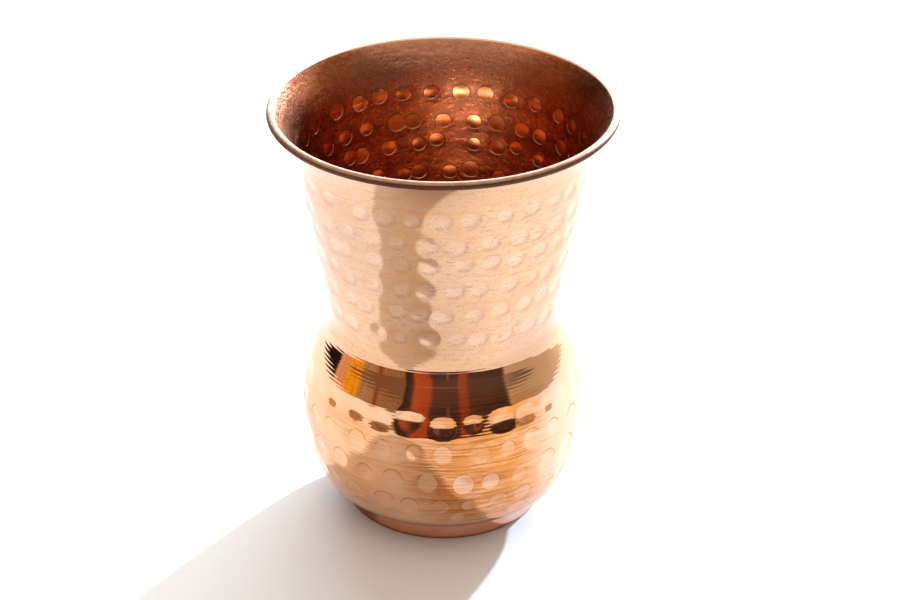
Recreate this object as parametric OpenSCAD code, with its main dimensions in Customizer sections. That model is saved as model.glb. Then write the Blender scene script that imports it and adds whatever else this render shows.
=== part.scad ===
// Hammered copper lota-form drinking pot: a flared neck shell brazed to a round belly bowl
// that stands on a brazed foot ring. Every piece is sheet copper turned about the Z axis.
// Millimetres, +Z up, origin at the centre of the foot ring's underside.

/* [Overall] */
// Outer diameter over the rolled lip
rim_d = 81; // [78:0.5:84]
// Height from the underside of the foot ring to the top of the lip
height = 104; // [101:0.5:108]
// Thickness of the copper sheet
sheet_t = 0.75; // [0.6:0.05:0.85]

/* [Neck] */
// Outer diameter at the narrowest point of the waist
waist_d = 55.8; // [54:0.2:58]
// Radius of the concave bend at the waist
waist_bend_r = 11; // [9:0.5:13]
// Lean of the neck wall away from vertical, in degrees
neck_angle = 9.6; // [8.5:0.1:10.5]
// Lean of the flare where it meets the lip, in degrees
lip_angle = 36; // [32:1:42]
// Outer diameter of the rolled lip
lip_d = 1.9; // [1.8:0.1:2.4]
// How far the sheet is rolled round to make the lip, in degrees
lip_sweep = 270; // [240:5:270]

/* [Belly] */
// Outer diameter of the belly at its widest
belly_d = 69.1; // [67:0.1:71]
// Height of the widest point of the belly
belly_z = 26.6; // [25:0.1:28]
// Radius of the belly's side curve
belly_arc_r = 40.5; // [38:0.5:43]
// Radius of the bend between the belly's side and its flat bottom
corner_r = 6.5; // [5.5:0.5:7]

/* [Foot] */
// Outer diameter of the foot ring
foot_d = 48.4; // [46:0.2:48.6]
// Height of the foot ring
foot_h = 5.4; // [4.5:0.1:6]
// Thickness of the foot ring's strip
foot_t = 0.9; // [0.8:0.1:1.2]
// Radius on the two lower edges of the foot ring
foot_edge_r = 0.2; // [0.1:0.05:0.3]

/* [Brazing] */
// Width of the brazed seam at the waist
waist_seam_w = 0.5; // [0.3:0.1:0.8]
// How far the braze stands proud inside the waist
waist_seam_bead = 0.25; // [0.1:0.05:0.4]
// Leg of the braze fillet inside the foot ring
foot_fillet = 1; // [0.6:0.1:1.5]

/* [Hidden] */
$fn = 180;

NECK_COLOR = [0.90, 0.68, 0.54];
BELLY_COLOR = [0.82, 0.52, 0.34];
FOOT_COLOR = [0.62, 0.33, 0.22];
BRAZE_COLOR = [0.72, 0.58, 0.36];

// Segments in one curved stretch of an outline
bend_steps = 20;
roll_steps = 30;

// Unit vector at an angle, and points along an arc, in the (radius, height) plane
function unit(angle) = [cos(angle), sin(angle)];
function arc(centre, r, from, to, steps) =
    [for (i = [0:steps]) centre + r * unit(from + (to - from) * i / steps)];

// Centres of the outer skin's curves. The corner and belly curves are convex and touch inside;
// the waist curve is concave and touches the belly curve from outside.
belly_c = [belly_d / 2 - belly_arc_r, belly_z];
corner_rise = belly_z - foot_h - corner_r;
corner_c = [belly_c.x + sqrt(pow(belly_arc_r - corner_r, 2) - pow(corner_rise, 2)), foot_h + corner_r];
waist_run = waist_d / 2 + waist_bend_r - belly_c.x;
waist_c = [waist_d / 2 + waist_bend_r, belly_z + sqrt(pow(belly_arc_r + waist_bend_r, 2) - pow(waist_run, 2))];

// Angles at which one curve hands over to the next
corner_to_belly = atan2(corner_c.y - belly_c.y, corner_c.x - belly_c.x);
belly_to_waist = atan2(waist_c.y - belly_c.y, waist_c.x - belly_c.x);
half_seam = asin(waist_seam_w / 2 / waist_bend_r);

// The lip is the sheet rolled outwards round a small hole; the flare is the concave arc that
// is tangent both to the neck's cone and to the start of that roll.
lip_hole_r = lip_d / 2 - sheet_t;
lip_c = [(rim_d - lip_d) / 2, height - lip_d / 2];
flare_end = lip_c + lip_hole_r * unit(180 - lip_angle);
neck_start = waist_c + waist_bend_r * unit(180 - neck_angle);
flare_r = (flare_end - neck_start) * unit(-neck_angle) / (1 - cos(lip_angle - neck_angle));
flare_c = flare_end + flare_r * unit(-lip_angle);

// One skin of the sheet, set in from the outer skin by depth, from the bottom upwards
function bowl_skin(depth) = concat(
    [[0, foot_h + depth]],
    arc(corner_c, corner_r - depth, -90, corner_to_belly, bend_steps),
    arc(belly_c, belly_arc_r - depth, corner_to_belly, belly_to_waist, bend_steps),
    arc(waist_c, waist_bend_r + depth, 180 + belly_to_waist, 180 + half_seam, bend_steps));
function neck_skin(depth) = concat(
    arc(waist_c, waist_bend_r + depth, 180 - half_seam, 180 - neck_angle, bend_steps),
    arc(flare_c, flare_r + depth, 180 - neck_angle, 180 - lip_angle, bend_steps));
function lip_roll(r) = arc(lip_c, r, 180 - lip_angle, 180 - lip_angle - lip_sweep, roll_steps);

// The same points in the opposite order, to close an outline
function reversed(points) = [for (i = [len(points) - 1:-1:0]) points[i]];

// Flared upper half of the pot, from the waist seam to the rolled lip, in one sheet
module neck_shell() {
    color(NECK_COLOR)
        rotate_extrude()
            polygon(concat(
                neck_skin(sheet_t),
                lip_roll(lip_d / 2),
                reversed(lip_roll(lip_hole_r)),
                reversed(neck_skin(0))));
}

// Round lower half of the pot with its own flat bottom, raised from one disc
module belly_bowl() {
    color(BELLY_COLOR)
        rotate_extrude()
            polygon(concat(bowl_skin(0), reversed(bowl_skin(sheet_t))));
}

// Ring of braze that fills the butt joint at the waist and stands slightly proud inside
module waist_braze() {
    inner_low = waist_c + (waist_bend_r + sheet_t) * unit(180 + half_seam);
    inner_high = waist_c + (waist_bend_r + sheet_t) * unit(180 - half_seam);
    half_w = (inner_high.y - inner_low.y) / 2;
    bead_r = (pow(half_w, 2) + pow(waist_seam_bead, 2)) / (2 * waist_seam_bead);
    bead_c = [inner_low.x - waist_seam_bead + bead_r, waist_c.y];
    bead_angle = atan2(half_w, bead_c.x - inner_low.x);
    color(BRAZE_COLOR)
        rotate_extrude()
            polygon(concat(
                [waist_c + waist_bend_r * unit(180 + half_seam)],
                [waist_c + waist_bend_r * unit(180 - half_seam)],
                arc(bead_c, bead_r, 180 - bead_angle, 180 + bead_angle, bend_steps)));
}

// Hoop of copper strip on edge under the belly; the pot stands on its lower edge
module foot_ring() {
    outer_r = foot_d / 2;
    inner_r = outer_r - foot_t;
    color(FOOT_COLOR)
        rotate_extrude()
            polygon(concat(
                arc([inner_r + foot_edge_r, foot_edge_r], foot_edge_r, 180, 270, bend_steps),
                arc([outer_r - foot_edge_r, foot_edge_r], foot_edge_r, -90, 0, bend_steps),
                [[outer_r, foot_h], [inner_r, foot_h]]));
}

// Hollow fillet of braze in the corner between the foot ring and the belly's bottom
module foot_braze() {
    inner_r = foot_d / 2 - foot_t;
    color(BRAZE_COLOR)
        rotate_extrude()
            polygon(concat(
                [[inner_r, foot_h]],
                arc([inner_r - foot_fillet, foot_h - foot_fillet], foot_fillet, 90, 0, bend_steps)));
}

neck_shell();
belly_bowl();
waist_braze();
foot_ring();
foot_braze();
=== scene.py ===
"""Looks of the hammered copper lota-form drinking pot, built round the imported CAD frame.

The two copper shells are rebuilt as dense turned sheets whose hammer marks are real dents in both skins,
and the foot ring and the two braze rings are rebuilt with the small unevenness that hand work leaves.
"""

import math

import bpy
import numpy as np
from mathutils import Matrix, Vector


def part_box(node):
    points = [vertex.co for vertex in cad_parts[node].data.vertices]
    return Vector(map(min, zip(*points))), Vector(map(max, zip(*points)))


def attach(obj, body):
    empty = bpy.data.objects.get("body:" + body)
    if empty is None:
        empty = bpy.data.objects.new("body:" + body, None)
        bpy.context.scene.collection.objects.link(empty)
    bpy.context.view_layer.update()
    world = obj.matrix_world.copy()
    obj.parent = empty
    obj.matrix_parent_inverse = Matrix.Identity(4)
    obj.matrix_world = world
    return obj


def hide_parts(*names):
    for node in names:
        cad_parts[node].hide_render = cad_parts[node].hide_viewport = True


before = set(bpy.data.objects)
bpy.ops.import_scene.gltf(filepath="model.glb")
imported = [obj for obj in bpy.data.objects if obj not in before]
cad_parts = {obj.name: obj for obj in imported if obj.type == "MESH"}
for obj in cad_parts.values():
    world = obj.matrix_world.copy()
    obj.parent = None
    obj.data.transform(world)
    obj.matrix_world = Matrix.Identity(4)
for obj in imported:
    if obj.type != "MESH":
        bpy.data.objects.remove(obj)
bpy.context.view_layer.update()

MM = 0.001
TURN = 2 * math.pi

# Sizes of the outline's curves, in metres, as part.scad has them
SHEET_T = 0.75 * MM
WAIST_BEND_R = 11 * MM
NECK_LEAN = math.radians(9.6)
LIP_LEAN = math.radians(36)
LIP_D = 1.9 * MM
LIP_SWEEP = math.radians(270)
BELLY_Z = 26.6 * MM
BELLY_ARC_R = 40.5 * MM
CORNER_R = 6.5 * MM
SEAM_W = 0.5 * MM
SEAM_BEAD = 0.25 * MM
FOOT_EDGE_R = 0.2 * MM

# Sizes that the frame gives
RIM_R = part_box("neck_shell")[1].x
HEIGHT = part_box("neck_shell")[1].z
WAIST_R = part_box("waist_braze")[1].x
BELLY_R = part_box("belly_bowl")[1].x
FOOT_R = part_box("foot_ring")[1].x
FOOT_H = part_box("foot_ring")[1].z

# Rows of hammer marks: height, marks in the row, angle of one of them (degrees from the front, to the right),
# half width and half height of the disc that the hammer leaves, its depth, and the depth, half width and half
# height of the soft hollow round it. Lengths are in millimetres.
NECK_ROWS = [
    (91.7, 31, -1.0, 2.1, 1.8, 0.08, 0.12, 3.4, 3.2),
    (84.8, 31, -6.0, 2.2, 1.9, 0.08, 0.13, 3.4, 3.4),
    (79.0, 31, -5.0, 2.1, 1.8, 0.08, 0.12, 3.4, 3.2),
    (72.2, 31, 4.0, 2.1, 1.8, 0.09, 0.12, 3.4, 3.4),
    (65.2, 30, 1.0, 2.2, 1.9, 0.08, 0.13, 3.4, 3.4),
    (58.0, 28, 4.5, 2.3, 1.9, 0.09, 0.13, 3.6, 3.4),
]
BELLY_ROWS = [
    (37.7, 29, -1.0, 2.3, 1.9, 0.03, 0.22, 3.8, 3.3),
    (30.6, 29, -1.0, 2.0, 2.2, 0.07, 0.15, 3.6, 3.6),
    (22.4, 28, 6.5, 2.2, 2.6, 0.08, 0.17, 3.7, 4.0),
    (15.4, 29, -2.0, 2.1, 2.2, 0.08, 0.13, 3.3, 3.2),
    (10.8, 26, 5.0, 2.0, 1.5, 0.06, 0.08, 3.0, 2.4),
]
# Scatter of the marks: angle in degrees, height in millimetres, size and depth as shares
MARK_SHIFT_DEG = 1.5
MARK_SHIFT_Z = 0.3
NECK_SIZE_SPREAD = 0.08
BELLY_SIZE_SPREAD = 0.15
MARK_DEPTH_SPREAD = 0.28
# How far from a disc's edge the materials still know where they are, and the lean of the neck's mark_up,
# which puts the painted shade of the neck's marks at their lower right
EDGE_REACH = 1.5 * MM
NECK_MARK_LEAN = math.radians(40)
# The ring that the top row of marks flattens on the belly: middle height, half height, depth
BELLY_FLAT = (37.4 * MM, 3.0 * MM, 0.111 * MM)
# Columns of each mesh round the pot, and the spacing of the shells' rings on the outer and the inner skin
NECK_COLUMNS = 440
BELLY_COLUMNS = 500
BRAZE_COLUMNS = 240
FOOT_COLUMNS = 360
NECK_SPACING = (0.53 * MM, 0.60 * MM)
BELLY_SPACING = (0.43 * MM, 1.15 * MM)
ARC_STEP = 0.02 * MM


def unit(angle):
    """Unit vectors in the (radius, height) plane."""
    return np.stack([np.cos(angle), np.sin(angle)], -1)


class Curve:
    """Centres and hand-over angles of the pot's outer skin."""

    belly = np.array([BELLY_R - BELLY_ARC_R, BELLY_Z])
    corner_rise = BELLY_Z - FOOT_H - CORNER_R
    corner_run = math.sqrt((BELLY_ARC_R - CORNER_R) ** 2 - corner_rise**2)
    corner = np.array([belly[0] + corner_run, FOOT_H + CORNER_R])
    waist_run = WAIST_R + WAIST_BEND_R - belly[0]
    waist_rise = math.sqrt((BELLY_ARC_R + WAIST_BEND_R) ** 2 - waist_run**2)
    waist = np.array([WAIST_R + WAIST_BEND_R, BELLY_Z + waist_rise])
    corner_end = math.atan2(corner[1] - belly[1], corner[0] - belly[0])
    belly_end = math.atan2(waist[1] - belly[1], waist[0] - belly[0])
    half_seam = math.asin(SEAM_W / 2 / WAIST_BEND_R)
    hole_r = LIP_D / 2 - SHEET_T
    lip = np.array([RIM_R - LIP_D / 2, HEIGHT - LIP_D / 2])
    flare_end = lip + hole_r * unit(math.pi - LIP_LEAN)
    neck_start = waist + WAIST_BEND_R * unit(math.pi - NECK_LEAN)
    flare_r = (flare_end - neck_start) @ unit(-NECK_LEAN) / (1 - math.cos(LIP_LEAN - NECK_LEAN))
    flare = flare_end + flare_r * unit(-LIP_LEAN)


def arc(centre, radius, start, end, outward):
    """A dense arc as points and outward normals. outward is 1 on a convex curve and -1 on a concave one."""
    steps = max(int(abs(end - start) * radius / ARC_STEP), 8)
    angles = np.linspace(start, end, steps)
    return centre + radius * unit(angles), outward * unit(angles)


def resample(points, normals, spacing):
    """The same curve with even spacing between its points."""
    length = np.concatenate([[0], np.cumsum(np.hypot(*np.diff(points, axis=0).T))])
    at = np.linspace(0, length[-1], int(round(length[-1] / spacing)) + 1)
    even = [np.stack([np.interp(at, length, v[:, k]) for k in (0, 1)], -1) for v in (points, normals)]
    even[1] /= np.linalg.norm(even[1], axis=1, keepdims=True)
    return even[0], even[1]


def joined(*arcs):
    """One curve from several that meet."""
    return np.concatenate([a[0] for a in arcs]), np.concatenate([a[1] for a in arcs])


def neck_skin():
    """Outer skin from the waist seam to the start of the lip's roll."""
    bend = arc(Curve.waist, WAIST_BEND_R, math.pi - Curve.half_seam, math.pi - NECK_LEAN, -1)
    flare = arc(Curve.flare, Curve.flare_r, math.pi - NECK_LEAN, math.pi - LIP_LEAN, -1)
    return joined(bend, flare)


def belly_skin():
    """Outer skin from the edge of the flat bottom to the waist seam."""
    corner = arc(Curve.corner, CORNER_R, -math.pi / 2, Curve.corner_end, 1)
    side = arc(Curve.belly, BELLY_ARC_R, Curve.corner_end, Curve.belly_end, 1)
    bend = arc(Curve.waist, WAIST_BEND_R, math.pi + Curve.belly_end, math.pi + Curve.half_seam, -1)
    return joined(corner, side, bend)


def hammer_marks(rows, size_spread, seed):
    """Every mark of the rows: angle, height, disc (half width, half height, depth), and the same three for
    its hollow."""
    draw = np.random.default_rng(seed)
    marks = []
    for height, count, first, half_w, half_h, depth, hollow, hollow_w, hollow_h in rows:
        for k in range(count):
            angle = math.radians(first + 360 * k / count + draw.normal(0, MARK_SHIFT_DEG))
            size = (1 + draw.normal(0, size_spread)) * MM
            deep = (1 + draw.normal(0, MARK_DEPTH_SPREAD)) * MM
            rise = (height + draw.normal(0, MARK_SHIFT_Z)) * MM
            disc = (half_w * size, half_h * size, depth * deep)
            marks.append((angle, rise, disc, (hollow_w * size, hollow_h * size, hollow * deep)))
    return marks


class Dents:
    """The hammered field on a grid of profile points by columns: its depth, and for the materials how far
    each place is inside the nearest disc's edge and how far along the lean it lies in it, both from -1 to 1.
    The lean turns from straight up towards the left."""

    def __init__(self, angles, points, normals, marks, lean, softness):
        self.lean, self.softness = lean, softness
        shape = (len(points), len(angles))
        self.angles, self.radius, self.height = angles, points[:, 0], points[:, 1]
        self.along = np.maximum(np.abs(normals[:, 0]), 0.25)
        self.hollows = np.zeros(shape)
        self.discs = np.zeros(shape)
        self.edge = np.full(shape, -1.0)
        self.up = np.zeros(shape)
        for angle, rise, disc, hollow in marks:
            self.add_hollow(angle, rise, *hollow)
            self.add_disc(angle, rise, *disc)
        self.depth = self.hollows + self.discs

    def local(self, angle, rise, half_w, half_h, reach):
        """The grid rows and columns near a mark, and their places in it with its rim at 1."""
        rows = np.nonzero(np.abs(self.height - rise) / self.along < reach * half_h)[0]
        turn = (self.angles - angle + math.pi) % TURN - math.pi
        widest = self.radius[rows].max() if len(rows) else 1.0
        cols = np.nonzero(np.abs(turn) * widest < reach * half_w)[0]
        across = turn[cols][None] * self.radius[rows][:, None] / half_w
        up = ((self.height[rows] - rise) / self.along[rows] / half_h)[:, None]
        return np.ix_(rows, cols), across, up

    def add_hollow(self, angle, rise, half_w, half_h, deep):
        place, across, up = self.local(angle, rise, half_w, half_h, 1.0)
        bowl = np.clip(1 - across**2 - up**2, 0, None)
        self.hollows[place] += deep * bowl**2

    def add_disc(self, angle, rise, half_w, half_h, deep):
        place, across, up = self.local(angle, rise, half_w, half_h, 1.9)
        out = np.sqrt(across**2 + up**2)
        bowl = 1 - out**2
        cap = 0.5 * (bowl + np.sqrt(bowl**2 + self.softness**2)) * (out < 1.6)
        self.discs[place] = np.maximum(self.discs[place], deep * cap)
        edge = np.clip((1 - out) * min(half_w, half_h) / EDGE_REACH, -1, 1)
        nearer = edge > self.edge[place]
        climb = np.clip((up * math.cos(self.lean) - across * math.sin(self.lean)) / 1.5, -1, 1)
        self.edge[place] = np.where(nearer, edge, self.edge[place])
        self.up[place] = np.where(nearer, climb, self.up[place])


def waver(angles, seed, size, waves=5):
    """A slow seeded wave round the pot, as hand work leaves it."""
    draw = np.random.default_rng(seed)
    total = np.zeros(len(angles))
    for k in range(2, 2 + waves):
        total += draw.normal() / k * np.cos(k * angles + draw.uniform(0, TURN))
    return size * total


class Sheet:
    """Collects rings of points from the bottom up and closes them into one turned mesh."""

    def __init__(self, angles):
        self.angles = angles
        self.rings, self.edges, self.ups, self.kinds = [], [], [], []

    def ring(self, radius, height, kind, edge=-1.0, up=0.0):
        count = len(self.angles)
        self.rings.append((np.broadcast_to(radius, count), np.broadcast_to(height, count)))
        self.edges.append(np.broadcast_to(edge, count))
        self.ups.append(np.broadcast_to(up, count))
        self.kinds.append(kind)

    def mesh(self, name):
        """The closed mesh. A ring's kind is the material of the faces between it and the next one."""
        rings, cols = len(self.rings), len(self.angles)
        radius = np.stack([r for r, _ in self.rings])
        height = np.stack([h for _, h in self.rings])
        x = radius * np.sin(self.angles)[None]
        y = -radius * np.cos(self.angles)[None]
        verts = np.stack([x, y, height], -1).reshape(-1, 3)
        row = np.arange(rings)[:, None]
        col = np.arange(cols)[None]
        nxt_row, nxt_col = (row + 1) % rings, (col + 1) % cols
        corners = [row * cols + col, row * cols + nxt_col, nxt_row * cols + nxt_col, nxt_row * cols + col]
        quads = np.stack([np.broadcast_to(c, (rings, cols)) for c in corners], -1).reshape(-1, 4)
        mesh = bpy.data.meshes.new(name)
        mesh.vertices.add(len(verts))
        mesh.vertices.foreach_set("co", verts.astype(np.float32).ravel())
        mesh.loops.add(quads.size)
        mesh.loops.foreach_set("vertex_index", quads.astype(np.int32).ravel())
        mesh.polygons.add(len(quads))
        mesh.polygons.foreach_set("loop_start", np.arange(0, quads.size, 4, dtype=np.int32))
        mesh.polygons.foreach_set("loop_total", np.full(len(quads), 4, np.int32))
        mesh.update(calc_edges=True)
        kinds = np.repeat(np.array(self.kinds), cols)
        mesh.polygons.foreach_set("material_index", kinds.astype(np.int32))
        mesh.polygons.foreach_set("use_smooth", np.ones(len(quads), bool))
        for label, values in (("mark_edge", self.edges), ("mark_up", self.ups)):
            attribute = mesh.attributes.new(label, "FLOAT", "POINT")
            attribute.data.foreach_set("value", np.stack(values).astype(np.float32).ravel())
        mesh.set_sharp_from_angle(angle=math.radians(50))
        mesh.validate()
        return mesh


def columns(count):
    """Angles of a mesh's columns."""
    return np.linspace(0, TURN, count, endpoint=False)


def add_piece(mesh, materials, node):
    """Puts a mesh in the scene in place of its CAD node."""
    piece = bpy.data.objects.new(mesh.name, mesh)
    bpy.context.scene.collection.objects.link(piece)
    for material in materials:
        mesh.materials.append(material)
    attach(piece, "root")
    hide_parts(node)
    return piece


# Places of the materials in a shell's mesh
OUTSIDE, INSIDE, LIP = 0, 1, 2


def add_skin(sheet, profile, spacing, marks, kind, sway=0.0, lean=0.0, soft=0.2, flat=None):
    """Adds one hammered skin to the sheet, swayed out of round. The outer one goes up, and the inner one
    comes down, a sheet's thickness inside it."""
    upwards = kind == OUTSIDE
    thickness = 0.0 if upwards else SHEET_T
    points, normals = resample(*profile, spacing)
    dents = Dents(sheet.angles, points, normals, marks, lean, soft)
    if flat:
        middle, half, deep = flat
        across = (points[:, 1] - middle) / half
        dents.depth += deep * np.clip(1 - across**2, 0, None)[:, None]
    order = range(len(points)) if upwards else range(len(points) - 1, -1, -1)
    for k in order:
        p, n = points[k], normals[k]
        fade = min(max((p[1] - points[0, 1]) / (3 * MM), 0), 1)
        push = sway * fade - thickness - dents.depth[k]
        sheet.ring(p[0] + n[0] * push, p[1] + n[1] * push, kind, dents.edge[k], dents.up[k])


def neck_mesh():
    """The flared shell: outer skin up, the lip's hollow roll round its hole and back, inner skin down."""
    sheet = Sheet(columns(NECK_COLUMNS))
    marks = hammer_marks(NECK_ROWS, NECK_SIZE_SPREAD, 11)
    sway = waver(sheet.angles, 5, 0.10 * MM)
    add_skin(sheet, neck_skin(), NECK_SPACING[0], marks, OUTSIDE, sway, lean=NECK_MARK_LEAN, soft=0.45)
    lip_waver = 1 + waver(sheet.angles, 8, 0.03)
    start = math.pi - LIP_LEAN
    for angle in np.linspace(start, start - LIP_SWEEP, 10)[1:]:
        x, z = unit(angle) * Curve.hole_r
        sheet.ring(Curve.lip[0] + x + sway, Curve.lip[1] + z, LIP)
    for angle in np.linspace(start - LIP_SWEEP, start, 28)[:-1]:
        x, z = unit(angle) * LIP_D / 2
        sheet.ring(Curve.lip[0] + x * lip_waver + sway, Curve.lip[1] + z, LIP)
    add_skin(sheet, neck_skin(), NECK_SPACING[1], marks, INSIDE, sway, soft=0.7)
    return sheet.mesh("neck_shell_hammered")


def belly_mesh():
    """The bowl: from the middle of the bottom out and up, then down the inner skin and back to the middle."""
    sheet = Sheet(columns(BELLY_COLUMNS))
    marks = hammer_marks(BELLY_ROWS, BELLY_SIZE_SPREAD, 23)
    flat_r = Curve.corner[0]
    for share in (0.0005, 0.3, 0.6, 0.9):
        sheet.ring(flat_r * share, FOOT_H, OUTSIDE)
    add_skin(sheet, belly_skin(), BELLY_SPACING[0], marks, OUTSIDE, flat=BELLY_FLAT)
    add_skin(sheet, belly_skin(), BELLY_SPACING[1], marks, INSIDE, flat=BELLY_FLAT)
    for share in (0.9, 0.6, 0.3, 0.0005):
        sheet.ring(flat_r * share, FOOT_H + SHEET_T, INSIDE)
    return sheet.mesh("belly_bowl_hammered")


def waist_braze_mesh():
    """The ring of metal in the waist's joint, with an uneven bead inside."""
    angles = columns(BRAZE_COLUMNS)
    low = Curve.waist + WAIST_BEND_R * unit(math.pi + Curve.half_seam)
    high = Curve.waist + WAIST_BEND_R * unit(math.pi - Curve.half_seam)
    inner_low = Curve.waist + (WAIST_BEND_R + SHEET_T) * unit(math.pi + Curve.half_seam)
    inner_high = Curve.waist + (WAIST_BEND_R + SHEET_T) * unit(math.pi - Curve.half_seam)
    bead = SEAM_BEAD * (0.8 + waver(angles, 31, 0.25, 14))
    sheet = Sheet(angles)
    sheet.ring(low[0], low[1], 0)
    sheet.ring(WAIST_R, Curve.waist[1], 0)
    sheet.ring(high[0], high[1], 1)
    for share in np.linspace(0, 1, 9):
        p = inner_high * (1 - share) + inner_low * share
        sheet.ring(p[0] - bead * math.sin(math.pi * share), p[1], 1)
    return sheet.mesh("waist_braze_ring")


def foot_ring_mesh():
    """The hoop of strip, with a rounded tread and an outer face that isn't quite round."""
    angles = columns(FOOT_COLUMNS)
    sheet = Sheet(angles)
    inner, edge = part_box("foot_braze")[1].x, FOOT_EDGE_R
    sway = waver(angles, 41, 0.04 * MM, 7)
    for angle in np.linspace(math.pi, 1.5 * math.pi, 5):
        x, z = unit(angle) * edge
        sheet.ring(inner + edge + x, edge + z, 0)
    for angle in np.linspace(-math.pi / 2, 0, 5):
        x, z = unit(angle) * edge
        sheet.ring(FOOT_R - edge + x + sway, edge + z, 0)
    for share in np.linspace(0.1, 1, 12):
        sheet.ring(FOOT_R + sway * (1 - share), edge + (FOOT_H - edge) * share, 0)
    sheet.ring(inner, FOOT_H, 0)
    for share in (0.66, 0.33):
        sheet.ring(inner, edge + (FOOT_H - edge) * share, 0)
    return sheet.mesh("foot_ring_hoop")


def foot_braze_mesh():
    """The fillet inside the hoop, with an uneven leg."""
    angles = columns(BRAZE_COLUMNS)
    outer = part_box("foot_braze")[1].x
    leg = FOOT_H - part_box("foot_braze")[0].z
    flow = leg * (1 + waver(angles, 51, 0.18, 16))
    sheet = Sheet(angles)
    sheet.ring(outer, FOOT_H, 0)
    for share in np.linspace(0, 1, 9):
        turn = math.pi / 2 * share
        sheet.ring(outer - flow * (1 - math.sin(turn)), FOOT_H - flow * (1 - math.cos(turn)), 0)
    return sheet.mesh("foot_braze_fillet")


# ---------------------------------------------------------------- materials

# Colours that the neck reflects: the copper in its deeper and its usual tone, what lies on it, and the
# painted shade and painted reflections on it
NECK_DEEP = (0.68, 0.39, 0.225)
NECK_USUAL = (0.73, 0.45, 0.275)
NECK_MARK = (0.80, 0.52, 0.365)
NECK_STAIN = (0.70, 0.34, 0.14)
# painted shade for the lower right of the neck's marks
NECK_PAINTED_SHADE = (0.38, 0.235, 0.18)
# painted reflection of dull things in the room
NECK_PAINTED_REFLECTION = (0.50, 0.34, 0.27)
GRIME = (0.34, 0.19, 0.15)
PIT = (0.20, 0.10, 0.07)

# The same for the belly, among them painted light, painted shade and a painted reflection
BELLY_DEEP = (0.77, 0.41, 0.215)
BELLY_USUAL = (0.80, 0.46, 0.27)
BELLY_MARK = (0.80, 0.52, 0.37)
BELLY_LIT_SHEEN = (0.84, 0.59, 0.43)
BELLY_LOW_FRONT_LIGHT = (0.95, 0.62, 0.43)
BELLY_WASH = (0.66, 0.245, 0.055)
BELLY_THREAD = (0.38, 0.115, 0.025)
BELLY_ARC = (0.50, 0.18, 0.06)
BELLY_HEAT_AND_SHADE = (0.42, 0.26, 0.23)
BELLY_PAINTED_REFLECTION = (0.50, 0.31, 0.20)

# The same for the oxidised inside, with painted shade further down and a painted highlight on the left near
# the lip
INSIDE_DEEP = (0.33, 0.082, 0.028)
INSIDE_USUAL = (0.58, 0.19, 0.072)
INSIDE_DEPTH_SHADE = (0.24, 0.04, 0.009)
INSIDE_DIRT = (0.14, 0.045, 0.025)
INSIDE_BACK = (0.66, 0.38, 0.25)
INSIDE_MARK = (0.86, 0.47, 0.24)
INSIDE_SUNLIT_SHEEN = (0.74, 0.50, 0.33)

# The same for the lip, the foot hoop and the brazing metal, among them painted highlights, painted
# reflections and painted shade
LIP_USUAL = (0.41, 0.225, 0.145)
LIP_DEEP = (0.25, 0.12, 0.07)
LIP_HIGHLIGHT = (0.80, 0.48, 0.32)
LIP_BACK_HIGHLIGHT = (0.95, 0.66, 0.50)
LIP_UNDER_SHADE = (0.09, 0.025, 0.012)
FOOT_DEEP = (0.80, 0.38, 0.22)
FOOT_USUAL = (0.88, 0.45, 0.28)
FOOT_SEAM_AND_SHADE = (0.12, 0.05, 0.04)
FOOT_CONTACT_SHADE = (0.30, 0.11, 0.06)
FOOT_SHADE = (0.26, 0.10, 0.07)
FOOT_REFLECTED_LIGHT = (0.98, 0.80, 0.70)
BRAZE_DEEP = (0.56, 0.36, 0.18)
BRAZE_USUAL = (0.70, 0.50, 0.28)

# Patches that differ from the metal round them, most of them painted light, shade and reflections, and
# some of them stains: angle from the front in degrees, radius, height, and the distances from that place
# within which the patch is whole and beyond which it is gone
# painted reflections: a grey thing on the neck's left, and the brown room at the right shoulder
NECK_LEFT_REFLECTION_AT = (-52, 31 * MM, 82 * MM, 8 * MM, 24 * MM)
NECK_SHOULDER_REFLECTION_AT = (46, 30 * MM, 51 * MM, 4 * MM, 13 * MM)
BELLY_SHOULDER_REFLECTION_AT = (46, 31 * MM, 48 * MM, 4 * MM, 13 * MM)
BELLY_WORST_AT = (17, 34 * MM, 26 * MM, 11 * MM, 25 * MM)
BELLY_BESIDE_AT = (34, 34 * MM, 35.5 * MM, 4 * MM, 12 * MM)
BELLY_LIT_SHEEN_AT = (60, 34 * MM, 27 * MM, 8 * MM, 21 * MM)
BELLY_LOW_FRONT_LIGHT_AT = (0, 30 * MM, 12 * MM, 8 * MM, 20 * MM)
INSIDE_SUNLIT_SHEEN_AT = (-38, 36 * MM, 92 * MM, 10 * MM, 26 * MM)
INSIDE_BACK_AT = (180, 38 * MM, 103 * MM, 8 * MM, 34 * MM)
LIP_HIGHLIGHT_AT = (-8, RIM_R, HEIGHT, 22 * MM, 50 * MM)
LIP_BACK_HIGHLIGHT_AT = (180, RIM_R, HEIGHT, 30 * MM, 66 * MM)
FOOT_SHADE_AT = (-64, FOOT_R, 3 * MM, 7 * MM, 11 * MM)
FOOT_REFLECTED_LIGHT_AT = (58, FOOT_R, 3 * MM, 5 * MM, 11 * MM)

# Height at which the burnisher's ridges are calmest, and their pitch
CALM_Z = 37.5 * MM
RIDGE_PITCH = 0.80 * MM


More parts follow.
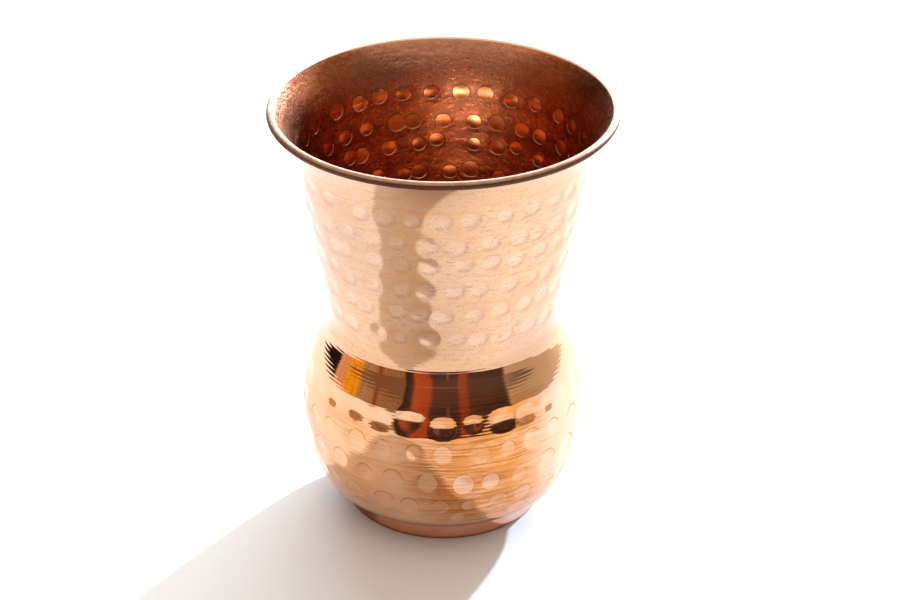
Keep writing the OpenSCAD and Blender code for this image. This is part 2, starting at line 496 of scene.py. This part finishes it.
class Nodes:
    """Short calls for building one material's node tree."""

    def __init__(self, name):
        self.material = bpy.data.materials.new(name)
        self.material.use_nodes = True
        self.tree = self.material.node_tree
        self.shader = self.tree.nodes["Principled BSDF"]
        self.place = self.tree.nodes.new("ShaderNodeTexCoord").outputs["Object"]
        split = self.new("ShaderNodeSeparateXYZ")
        self.link(self.place, split.inputs[0])
        self.z = split.outputs["Z"]

    def new(self, kind, **values):
        node = self.tree.nodes.new(kind)
        for key, value in values.items():
            setattr(node, key, value)
        return node

    def link(self, source, target):
        self.tree.links.new(source, target)

    def fill(self, socket, value):
        """Sets a socket to a number or a colour, or links it to another node's output."""
        if isinstance(value, (int, float)):
            socket.default_value = value
        elif isinstance(value, tuple):
            socket.default_value = (*value, 1.0)
        else:
            self.link(value, socket)

    def near(self, angle, radius, height, whole, gone):
        """1 within the first distance of a place on the pot, and 0 beyond the second."""
        turn = math.radians(angle)
        node = self.new("ShaderNodeVectorMath", operation="DISTANCE")
        node.inputs[1].default_value = (radius * math.sin(turn), -radius * math.cos(turn), height)
        self.link(self.place, node.inputs[0])
        return self.ramp(node.outputs["Value"], whole, gone, 1.0, 0.0)

    def scaled(self, x, y, z):
        node = self.new("ShaderNodeMapping")
        node.inputs["Scale"].default_value = (x, y, z)
        self.link(self.place, node.inputs["Vector"])
        return node.outputs["Vector"]

    def noise(self, across, up, detail=3.0, rough=0.55):
        """Noise with so many features a metre round the pot and up it."""
        node = self.new("ShaderNodeTexNoise")
        node.inputs["Scale"].default_value = 1.0
        node.inputs["Detail"].default_value = detail
        node.inputs["Roughness"].default_value = rough
        self.link(self.scaled(across, across, up), node.inputs["Vector"])
        return node.outputs["Fac"]

    def cells(self, across, up):
        node = self.new("ShaderNodeTexVoronoi")
        node.inputs["Scale"].default_value = 1.0
        self.link(self.scaled(across, across, up), node.inputs["Vector"])
        return node

    def attribute(self, name):
        return self.new("ShaderNodeAttribute", attribute_name=name).outputs["Fac"]

    def math(self, operation, a, b=0.0):
        node = self.new("ShaderNodeMath", operation=operation)
        self.fill(node.inputs[0], a)
        self.fill(node.inputs[1], b)
        return node.outputs["Value"]

    def times(self, first, *others):
        for other in others:
            first = self.math("MULTIPLY", first, other)
        return first

    def plus(self, first, *others):
        for other in others:
            first = self.math("ADD", first, other)
        return first

    def most(self, first, *others):
        for other in others:
            first = self.math("MAXIMUM", first, other)
        return first

    def without(self, value, amount=1.0):
        """1 less an amount of a value."""
        taken = value if amount == 1.0 else self.times(value, amount)
        return self.math("SUBTRACT", 1.0, taken)

    def ramp(self, value, low, high, to_low=0.0, to_high=1.0):
        node = self.new("ShaderNodeMapRange", interpolation_type="SMOOTHSTEP")
        node.inputs["From Min"].default_value = low
        node.inputs["From Max"].default_value = high
        node.inputs["To Min"].default_value = to_low
        node.inputs["To Max"].default_value = to_high
        self.link(value, node.inputs["Value"])
        return node.outputs["Result"]

    def mix(self, share, a, b):
        node = self.new("ShaderNodeMix", data_type="RGBA")
        self.fill(node.inputs[0], share)
        self.fill(node.inputs[6], a)
        self.fill(node.inputs[7], b)
        return node.outputs[2]

    def paint(self, under, share, amount, over):
        """A colour with another over it, as strong as the share times the amount."""
        return self.mix(self.times(share, amount), under, over)

    def bump(self, height, distance, under=None):
        node = self.new("ShaderNodeBump")
        node.inputs["Distance"].default_value = distance
        node.inputs["Strength"].default_value = 1.0
        self.link(height, node.inputs["Height"])
        if under is not None:
            self.link(under, node.inputs["Normal"])
        return node.outputs["Normal"]

    def finish(self, color, roughness, normal, metallic=1.0):
        self.shader.inputs["Metallic"].default_value = metallic
        for socket, value in (("Base Color", color), ("Roughness", roughness), ("Normal", normal)):
            self.link(value, self.shader.inputs[socket])
        return self.material


def pits(n, cell, size, share):
    """Dark specks: a small dot in some of the cells, wider round the pot than up it."""
    cells = n.cells(1 / cell, 1.5 / cell)
    dot = n.ramp(cells.outputs["Distance"], size * 0.5, size, 1.0, 0.0)
    pick = n.ramp(cells.outputs["Color"], share, share + 0.02, 1.0, 0.0)
    return n.times(dot, pick)


def disc(n):
    """1 inside the hammer's discs and 0 outside them, with an edge about a fifth of a millimetre wide."""
    half_edge = 0.10 * MM / EDGE_REACH
    return n.ramp(n.attribute("mark_edge"), -half_edge, half_edge)


def upper_rim(n, width):
    """A thin ring just outside the upper half of each disc."""
    near = n.math("ABSOLUTE", n.plus(n.attribute("mark_edge"), 0.5 * width / EDGE_REACH))
    ring = n.ramp(near, 0.0, width / EDGE_REACH, 1.0, 0.0)
    return n.times(ring, n.ramp(n.attribute("mark_up"), 0.0, 0.35))


def lower_shade(n):
    """Painted shade: a soft belt along the lower edge of each disc, broken into specks."""
    low_side = n.ramp(n.attribute("mark_up"), 0.10, -0.50)
    belt = n.ramp(n.math("ABSOLUTE", n.attribute("mark_edge")), 0.05, 0.62, 1.0, 0.0)
    return n.times(low_side, belt, n.ramp(n.noise(2300, 2300, 2), 0.25, 0.65))


def grime_dashes(n, full):
    return n.ramp(n.noise(500, 2400, 3, 0.6), 0.53, 0.68, 0.0, full)


def turning(n, pitch):
    """The fine ridges that the lathe's burnisher leaves, from -1 to 1, with a slightly uneven pitch."""
    drift = n.noise(7, 260, 2)
    steps = n.times(n.z, TURN / pitch)
    return n.math("SINE", n.plus(steps, n.times(drift, 9.0)))


def neck_color(n, pit):
    mark = disc(n)
    blotch = n.noise(55, 90, 4)
    rubbed = n.times(mark, n.ramp(n.noise(120, 120, 2), 0.35, 0.6))
    stain = n.times(n.ramp(n.noise(95, 1500, 5, 0.65), 0.50, 0.64), n.without(mark, 0.8))
    grime = n.times(grime_dashes(n, 1.0), n.ramp(blotch, 0.38, 0.60))
    # painted reflections of the brown room at the right shoulder and of a grey thing on the left
    shoulder = n.times(n.near(*NECK_SHOULDER_REFLECTION_AT), 0.35)
    left = n.times(n.near(*NECK_LEFT_REFLECTION_AT), n.ramp(blotch, 0.3, 0.6, 0.1, 0.38))
    color = n.mix(n.ramp(blotch, 0.3, 0.7), NECK_DEEP, NECK_USUAL)
    color = n.paint(color, rubbed, 0.6, NECK_MARK)
    color = n.paint(color, stain, 0.58, NECK_STAIN)
    # painted shade along the lower right of each mark
    color = n.paint(color, lower_shade(n), 0.55, NECK_PAINTED_SHADE)
    color = n.paint(color, grime, 0.48, GRIME)
    color = n.mix(n.most(shoulder, left), color, NECK_PAINTED_REFLECTION)
    return n.paint(color, pit, 0.75, PIT)


def neck_material():
    n = Nodes("neck_copper_outside")
    pit = pits(n, 0.55 * MM, 0.24, 0.5)
    scratch = n.noise(110, 4200, 3)
    rough = n.plus(n.ramp(scratch, 0.3, 0.7, 0.07, 0.12), n.times(pit, 0.3))
    low = n.bump(scratch, 0.008 * MM)
    low = n.bump(n.noise(700, 1300, 3), 0.012 * MM, low)
    normal = n.bump(n.without(pit), 0.02 * MM, low)
    return n.finish(neck_color(n, pit), rough, normal)


def inner_material(name):
    n = Nodes(name)
    mark = disc(n)
    bare = n.without(mark, 0.9)
    grain = n.noise(1500, 1500, 3, 0.65)
    coarse = n.noise(620, 900, 3, 0.6)
    fold = n.noise(60, 420, 3, 0.55)
    tarnish = n.noise(50, 130, 4, 0.6)
    # painted highlight: paler and rougher on the inner wall at the left near the lip, where the sun falls
    sunlit_sheen = n.near(*INSIDE_SUNLIT_SHEEN_AT)
    # painted shade, darker further down inside the pot
    low = n.ramp(n.z, 80 * MM, 62 * MM)
    dirt = n.times(n.ramp(coarse, 0.50, 0.62), bare)
    back = n.times(n.near(*INSIDE_BACK_AT), bare)
    color = n.mix(n.ramp(tarnish, 0.3, 0.7), INSIDE_DEEP, INSIDE_USUAL)
    color = n.paint(color, low, 0.7, INSIDE_DEPTH_SHADE)
    color = n.paint(color, dirt, 0.5, INSIDE_DIRT)
    color = n.paint(color, back, 0.4, INSIDE_BACK)
    color = n.paint(color, mark, 0.75, INSIDE_MARK)
    color = n.paint(color, sunlit_sheen, 0.75, INSIDE_SUNLIT_SHEEN)
    rough = n.math("SUBTRACT", n.ramp(coarse, 0.3, 0.7, 0.24, 0.34), n.times(mark, 0.12))
    rough = n.plus(rough, n.times(sunlit_sheen, 0.16))
    height = n.times(n.plus(grain, coarse, n.times(fold, 1.5)), bare)
    return n.finish(color, rough, n.bump(height, 0.10 * MM))


def lip_material():
    n = Nodes("lip_copper")
    blotch = n.noise(700, 700, 4, 0.6)
    # painted shade on the lower part of the lip's roll
    under = n.ramp(n.z, HEIGHT - 0.32 * MM, HEIGHT - 0.72 * MM)
    color = n.mix(n.ramp(blotch, 0.35, 0.7), LIP_USUAL, LIP_DEEP)
    # painted highlight on the lip at the front
    color = n.paint(color, n.near(*LIP_HIGHLIGHT_AT), 0.3, LIP_HIGHLIGHT)
    # painted highlight on the lip at the back
    color = n.mix(n.near(*LIP_BACK_HIGHLIGHT_AT), color, LIP_BACK_HIGHLIGHT)
    color = n.paint(color, under, 0.92, LIP_UNDER_SHADE)
    rough = n.ramp(blotch, 0.3, 0.7, 0.46, 0.56)
    return n.finish(color, rough, n.bump(blotch, 0.05 * MM))


def belly_color(n):
    """Clean copper, brown stains below the shoulder band, and above it the neck's look again. On it lie
    painted light on the right and low at the front, a painted reflection at the right shoulder, and heat
    tint with painted shade at the bottom.
    """
    mark = disc(n)
    # painted light: paler copper on the lit right side, with less stain there
    lit_sheen = n.near(*BELLY_LIT_SHEEN_AT)
    broken = n.noise(150, 800, 5, 0.7)
    below_band = n.ramp(n.z, 33 * MM, 38 * MM, 1.0, 0.0)
    hammered = n.times(n.ramp(n.z, 9 * MM, 16 * MM), below_band)
    stained = n.times(hammered, n.ramp(n.noise(34, 50, 3), 0.42, 0.62, 0.12, 0.62))
    stained = n.most(stained, n.near(*BELLY_WORST_AT), n.near(*BELLY_BESIDE_AT))
    seep = n.ramp(n.noise(130, 130, 2), 0.40, 0.60, 0.35, 1.0)
    stained = n.times(stained, n.without(lit_sheen, 0.6), n.most(n.without(mark), seep))
    wash = n.times(stained, n.ramp(broken, 0.34, 0.56, 0.4, 1.0))
    thread = n.times(stained, n.ramp(n.noise(75, 2600, 4, 0.6), 0.51, 0.62))
    rubbed = n.times(mark, below_band, n.ramp(n.noise(260, 260, 3), 0.35, 0.65))
    arc_above = n.times(upper_rim(n, 0.35 * MM), hammered, n.ramp(broken, 0.34, 0.52))
    # heat tint from the foot's brazing, and painted shade mirrored from the table beside the foot
    heat_and_shade = n.times(n.ramp(n.z, 6.4 * MM, 10.0 * MM, 1.0, 0.0), n.ramp(broken, 0.25, 0.5, 0.4, 1.0))
    color = n.mix(n.ramp(n.noise(45, 60, 4), 0.3, 0.7), BELLY_DEEP, BELLY_USUAL)
    # painted light: paler low at the front, over the mirrored shadow of the pot
    color = n.paint(color, n.near(*BELLY_LOW_FRONT_LIGHT_AT), 0.8, BELLY_LOW_FRONT_LIGHT)
    # painted light on the lit right side
    color = n.paint(color, lit_sheen, 0.75, BELLY_LIT_SHEEN)
    color = n.paint(color, wash, 0.95, BELLY_WASH)
    color = n.paint(color, thread, 0.8, BELLY_THREAD)
    color = n.paint(color, rubbed, 0.22, BELLY_MARK)
    color = n.paint(color, arc_above, 0.8, BELLY_ARC)
    color = n.mix(heat_and_shade, color, BELLY_HEAT_AND_SHADE)
    collar = n.mix(grime_dashes(n, 0.4), NECK_DEEP, GRIME)
    color = n.mix(n.ramp(n.z, 48.2 * MM, 49.6 * MM), color, collar)
    # painted reflection of the brown room at the right shoulder
    color = n.paint(color, n.near(*BELLY_SHOULDER_REFLECTION_AT), 0.40, BELLY_PAINTED_REFLECTION)
    return n.paint(color, pits(n, 1.1 * MM, 0.18, 0.16), 0.7, PIT)


def belly_material():
    n = Nodes("belly_copper_outside")
    fine = n.noise(40, 5200, 2)
    rough = n.ramp(fine, 0.3, 0.7, 0.035, 0.07)
    uneven = n.ramp(n.noise(60, 60, 2), 0.35, 0.6, 0.35, 1.0)
    off_marks = n.without(n.ramp(n.attribute("mark_edge"), -0.5, 0.05))
    away = n.math("ABSOLUTE", n.math("SUBTRACT", n.z, CALM_Z))
    strength = n.ramp(away, 2.5 * MM, 5 * MM, 0.32, 1.0)
    ridges = n.times(off_marks, uneven, strength, turning(n, RIDGE_PITCH))
    normal = n.bump(fine, 0.002 * MM, n.bump(ridges, 0.0065 * MM))
    return n.finish(belly_color(n), rough, normal)


def foot_material():
    n = Nodes("foot_copper")
    fine = n.noise(300, 4000, 3)
    # the dark joint at the top of the hoop, with painted shade under the belly's edge
    seam = n.ramp(n.z, FOOT_H - 1.0 * MM, FOOT_H - 0.45 * MM)
    # painted shade along the tread, where the hoop meets the table
    tread = n.ramp(n.z, 0.3 * MM, 1.0 * MM, 1.0, 0.0)
    color = n.mix(n.ramp(n.noise(120, 260, 4), 0.3, 0.7), FOOT_DEEP, FOOT_USUAL)
    color = n.paint(color, seam, 0.9, FOOT_SEAM_AND_SHADE)
    color = n.paint(color, tread, 0.75, FOOT_CONTACT_SHADE)
    # painted shade on the hoop's left, where it mirrors the pot's shadow
    color = n.paint(color, n.near(*FOOT_SHADE_AT), 0.75, FOOT_SHADE)
    # painted reflection of the sunlit table on the hoop's right
    color = n.paint(color, n.near(*FOOT_REFLECTED_LIGHT_AT), 0.6, FOOT_REFLECTED_LIGHT)
    rough = n.ramp(fine, 0.3, 0.7, 0.06, 0.11)
    return n.finish(color, rough, n.bump(fine, 0.004 * MM))


def braze_material():
    n = Nodes("braze_alloy")
    blotch = n.noise(700, 700, 4)
    color = n.mix(n.ramp(blotch, 0.3, 0.7), BRAZE_DEEP, BRAZE_USUAL)
    rough = n.ramp(blotch, 0.3, 0.7, 0.28, 0.45)
    return n.finish(color, rough, n.bump(blotch, 0.05 * MM))


# ---------------------------------------------------------------- stage

TABLE_EDGE_Y = -0.55
TABLE_HALF_W = 0.62
TABLE_BACK_Y = 1.2
FLOOR_REACH = 8.0
CAMERA_PLACE = (0.0015, -0.4786, 0.3249)
CAMERA_DOWN = math.radians(29.64)
CAMERA_LENS = 92.0
# Where the lights are: angle from straight behind towards the right, rise, and the window's distance
SUN_FROM = (math.radians(33), math.radians(15.5))
SUN_ENERGY = 7.6
SUN_SPREAD = math.radians(1.6)
SUN_COLOR = (0.84, 1.03, 1.30)
WINDOW_FROM = (math.radians(8), math.radians(27), 1.05)
WINDOW_SIZE = (1.3, 0.6)
WINDOW_POWER = 18
WINDOW_COLOR = (0.82, 0.96, 1.08)


def floor_piece(name, boxes, material):
    """A flat piece of the stage made of rectangles, each (low x, low y, high x, high y)."""
    verts, faces = [], []
    for x0, y0, x1, y1 in boxes:
        k = len(verts)
        verts += [(x0, y0, 0), (x1, y0, 0), (x1, y1, 0), (x0, y1, 0)]
        faces.append((k, k + 1, k + 2, k + 3))
    mesh = bpy.data.meshes.new(name)
    mesh.from_pydata(verts, [], faces)
    mesh.materials.append(material)
    piece = bpy.data.objects.new(name, mesh)
    bpy.context.scene.collection.objects.link(piece)
    return piece


def floor_material():
    n = Nodes("floor_white")
    grain = n.noise(30, 30, 2)
    color = n.mix(grain, (0.80, 0.795, 0.785), (0.82, 0.815, 0.805))
    rough = n.ramp(grain, 0.0, 1.0, 0.85, 0.9)
    return n.finish(color, rough, n.bump(grain, 0.001 * MM), 0.0)


def make_floor():
    """A pale table top with an edge in front of the pot. The floor beyond it looks the same to the camera,
    but the copper doesn't mirror it, so the dark room in front shows in the metal."""
    white = floor_material()
    w, front, back, far = TABLE_HALF_W, TABLE_EDGE_Y, TABLE_BACK_Y, FLOOR_REACH
    floor_piece("table_top", [(-w, front, w, back)], white)
    before, behind = (-far, -far, far, front), (-far, back, far, far)
    rest = [before, behind, (-far, front, -w, back), (w, front, far, back)]
    beyond = floor_piece("floor_beyond", rest, white)
    beyond.visible_glossy = False


# Colours of the room round the pot, by angle from the front towards the right, in degrees
ROOM = [
    (-180, (1.5, 1.45, 1.4)),
    (-150, (1.3, 1.2, 1.1)),
    (-146, (0.02, 0.015, 0.015)),
    (-100, (0.02, 0.015, 0.015)),
    (-98.5, (1.0, 0.55, 0.36)),
    (-90, (1.0, 0.55, 0.30)),
    (-87, (1.2, 0.62, 0.03)),
    (-74, (1.2, 0.60, 0.02)),
    (-72, (0.60, 0.42, 0.26)),
    (-58, (0.52, 0.36, 0.22)),
    (-57, (0.34, 0.10, 0.05)),
    (-54, (0.34, 0.10, 0.05)),
    (-53, (0.48, 0.29, 0.16)),
    (-33, (0.42, 0.27, 0.16)),
    (-31, (0.05, 0.03, 0.03)),
    (-25, (0.09, 0.06, 0.05)),
    (-23, (0.62, 0.14, 0.05)),
    (-11, (0.52, 0.10, 0.04)),
    (-9, (0.10, 0.065, 0.07)),
    (5.4, (0.10, 0.065, 0.07)),
    (6, (0.65, 0.40, 0.30)),
    (6.6, (0.10, 0.065, 0.07)),
    (14, (0.12, 0.07, 0.065)),
    (16, (0.44, 0.12, 0.06)),
    (22, (0.40, 0.12, 0.06)),
    (24, (0.12, 0.08, 0.065)),
    (56, (0.09, 0.065, 0.06)),
    (58, (0.72, 0.60, 0.46)),
    (84, (0.74, 0.64, 0.50)),
    (104, (0.86, 0.76, 0.64)),
    (130, (1.3, 1.2, 1.1)),
    (180, (1.5, 1.45, 1.4)),
]
# The same above the height of the room's furniture
UPPER_ROOM = [
    (-180, (0.9, 0.8, 0.7)),
    (-150, (0.5, 0.42, 0.36)),
    (-140, (0.02, 0.015, 0.015)),
    (-105, (0.02, 0.015, 0.015)),
    (-95, (0.24, 0.13, 0.08)),
    (-50, (0.26, 0.15, 0.09)),
    (-32, (0.26, 0.16, 0.10)),
    (-31, (0.05, 0.035, 0.035)),
    (-25, (0.09, 0.06, 0.05)),
    (-23, (0.56, 0.14, 0.06)),
    (-9, (0.48, 0.11, 0.05)),
    (-7, (0.13, 0.08, 0.085)),
    (14, (0.14, 0.08, 0.075)),
    (16, (0.38, 0.12, 0.06)),
    (22, (0.36, 0.12, 0.06)),
    (24, (0.14, 0.09, 0.08)),
    (56, (0.12, 0.085, 0.075)),
    (58, (0.40, 0.34, 0.26)),
    (80, (0.20, 0.16, 0.12)),
    (130, (0.9, 0.85, 0.8)),
    (180, (0.9, 0.8, 0.7)),
]
# How ragged the borders between the colours are, as a share of the turn
ROOM_RAGGED = 0.012
# Darker things among the room's colours, up to these shares of the turn, and how strong they are
CLUTTER_COLOR = (0.03, 0.015, 0.012)
CLUTTER_ENDS = (0.62, 0.65)
CLUTTER_STRENGTH = 0.42
# Rises over which the lower room gives way to the upper one, and the upper one to the light overhead
FURNITURE_TOP = (math.radians(11), math.radians(15))
ROOM_TOP = (math.radians(25), math.radians(36))
# The room is taller towards the right, between these shares of the turn
TALLER_FROM = (0.61, 0.68)
TALLER_BY = math.radians(9)
OVERHEAD = (1.02, 0.91, 0.80)
BACKDROP = (1.05, 1.05, 1.04)


class WorldNodes:
    """Short calls for the world's node tree."""

    def __init__(self, name):
        world = bpy.data.worlds.new(name)
        bpy.context.scene.world = world
        world.use_nodes = True
        self.tree = world.node_tree
        self.tree.nodes.clear()

    def add(self, kind, *sources, **values):
        """A new node with values set and its inputs linked, in order, to the sources that aren't None."""
        node = self.tree.nodes.new(kind)
        for key, value in values.items():
            setattr(node, key, value)
        for socket, source in zip(node.inputs, sources):
            if source is not None:
                self.tree.links.new(source, socket)
        return node

    def colors_by_angle(self, share, stops):
        """The stops' colours round the turn. A colour ramp holds 32 stops at most."""
        node = self.add("ShaderNodeValToRGB", share)
        elements = node.color_ramp.elements
        for k, (angle, color) in enumerate(stops):
            position = (angle + 180) / 360
            element = elements[k] if k < 2 else elements.new(position)
            element.position = position
            element.color = (*color, 1)
        return node.outputs["Color"]

    def noise(self, scale, detail):
        node = self.add("ShaderNodeTexNoise", self.tree.nodes["Texture Coordinate"].outputs["Generated"])
        node.inputs["Scale"].default_value = scale
        node.inputs["Detail"].default_value = detail
        return node.outputs["Fac"]

    def clutter(self, color, share):
        """Darker things in the room, but not towards the right."""
        gaps = self.step(self.noise(26, 3), 0.36, 0.56)
        clear = self.add("ShaderNodeMath", gaps, self.step(share, *CLUTTER_ENDS), operation="MAXIMUM")
        return self.mix(clear.outputs[0], self.mix(CLUTTER_STRENGTH, color, CLUTTER_COLOR), color)

    def multiply_add(self, value, factor, addend):
        node = self.add("ShaderNodeMath", value, None, addend, operation="MULTIPLY_ADD")
        node.inputs[1].default_value = factor
        return node.outputs[0]

    def step(self, value, low, high):
        """0 below low and 1 above high, smoothly."""
        node = self.add("ShaderNodeMapRange", value, interpolation_type="SMOOTHSTEP")
        node.inputs["From Min"].default_value = low
        node.inputs["From Max"].default_value = high
        return node.outputs[0]

    def mix(self, share, a, b):
        node = self.add("ShaderNodeMix", data_type="RGBA")
        for socket, value in ((node.inputs[0], share), (node.inputs[6], a), (node.inputs[7], b)):
            if isinstance(value, float):
                socket.default_value = value
            elif isinstance(value, tuple):
                socket.default_value = (*value, 1)
            else:
                self.tree.links.new(value, socket)
        return node.outputs[2]


def make_world():
    """A dim warm room in front, bright surroundings behind, and a pale plain backdrop for the camera."""
    w = WorldNodes("studio")
    way = w.add("ShaderNodeSeparateXYZ", w.add("ShaderNodeTexCoord").outputs["Generated"])
    forward = w.add("ShaderNodeMath", way.outputs["Y"], operation="MULTIPLY")
    forward.inputs[1].default_value = -1
    turn = w.add("ShaderNodeMath", way.outputs["X"], forward.outputs[0], operation="ARCTAN2")
    share = w.add("ShaderNodeMapRange", turn.outputs[0])
    share.inputs["From Min"].default_value = -math.pi
    share.inputs["From Max"].default_value = math.pi
    share = share.outputs[0]
    rise = w.add("ShaderNodeMath", way.outputs["Z"], operation="ARCSINE").outputs[0]
    ragged = w.multiply_add(w.noise(70, 3), ROOM_RAGGED, share)
    room = w.clutter(w.colors_by_angle(ragged, ROOM), share)
    upper = w.colors_by_angle(ragged, UPPER_ROOM)
    around = w.mix(w.step(rise, *FURNITURE_TOP), room, upper)
    lowered = w.multiply_add(w.step(share, *TALLER_FROM), -TALLER_BY, rise)
    dome = w.mix(w.step(lowered, *ROOM_TOP), around, OVERHEAD)
    seen = w.mix(w.add("ShaderNodeLightPath").outputs["Is Camera Ray"], dome, BACKDROP)
    light = w.add("ShaderNodeBackground", seen)
    w.add("ShaderNodeOutputWorld", light.outputs[0])


def add_lamp(data, side, rise):
    """A lamp that shines on the pot from behind, at an angle towards the right and a rise."""
    lamp = bpy.data.objects.new(data.name, data)
    lamp.rotation_euler = (math.pi / 2 - rise, 0, math.pi - side)
    bpy.context.scene.collection.objects.link(lamp)
    return lamp


def make_lights():
    """A low sun behind the pot on the right, which gives its shadow clear edges, and a soft window."""
    sun = bpy.data.lights.new("key", "SUN")
    sun.energy = SUN_ENERGY
    sun.angle = SUN_SPREAD
    sun.color = SUN_COLOR
    add_lamp(sun, *SUN_FROM)
    window = bpy.data.lights.new("window", "AREA")
    window.shape = "RECTANGLE"
    window.size, window.size_y = WINDOW_SIZE
    window.energy = WINDOW_POWER
    window.color = WINDOW_COLOR
    side, rise, distance = WINDOW_FROM
    lamp = add_lamp(window, side, rise)
    level = distance * math.cos(rise)
    lamp.location = (level * math.sin(side), level * math.cos(side), distance * math.sin(rise))
    lamp.visible_camera = False


def make_camera():
    data = bpy.data.cameras.new("camera")
    data.lens = CAMERA_LENS
    data.clip_start = 0.01
    camera = bpy.data.objects.new("camera", data)
    camera.location = CAMERA_PLACE
    camera.rotation_euler = (math.pi / 2 - CAMERA_DOWN, 0, 0)
    bpy.context.scene.collection.objects.link(camera)
    bpy.context.scene.camera = camera


bpy.context.scene.view_settings.view_transform = "Standard"

make_camera()
make_floor()
make_world()
make_lights()

neck_outside = neck_material()
neck_inside = inner_material("neck_copper_inside")
belly_inside = inner_material("belly_copper_inside")
braze = braze_material()
add_piece(neck_mesh(), [neck_outside, neck_inside, lip_material()], "neck_shell")
add_piece(belly_mesh(), [belly_material(), belly_inside], "belly_bowl")
add_piece(waist_braze_mesh(), [neck_outside, braze], "waist_braze")
add_piece(foot_ring_mesh(), [foot_material()], "foot_ring")
add_piece(foot_braze_mesh(), [braze], "foot_braze")
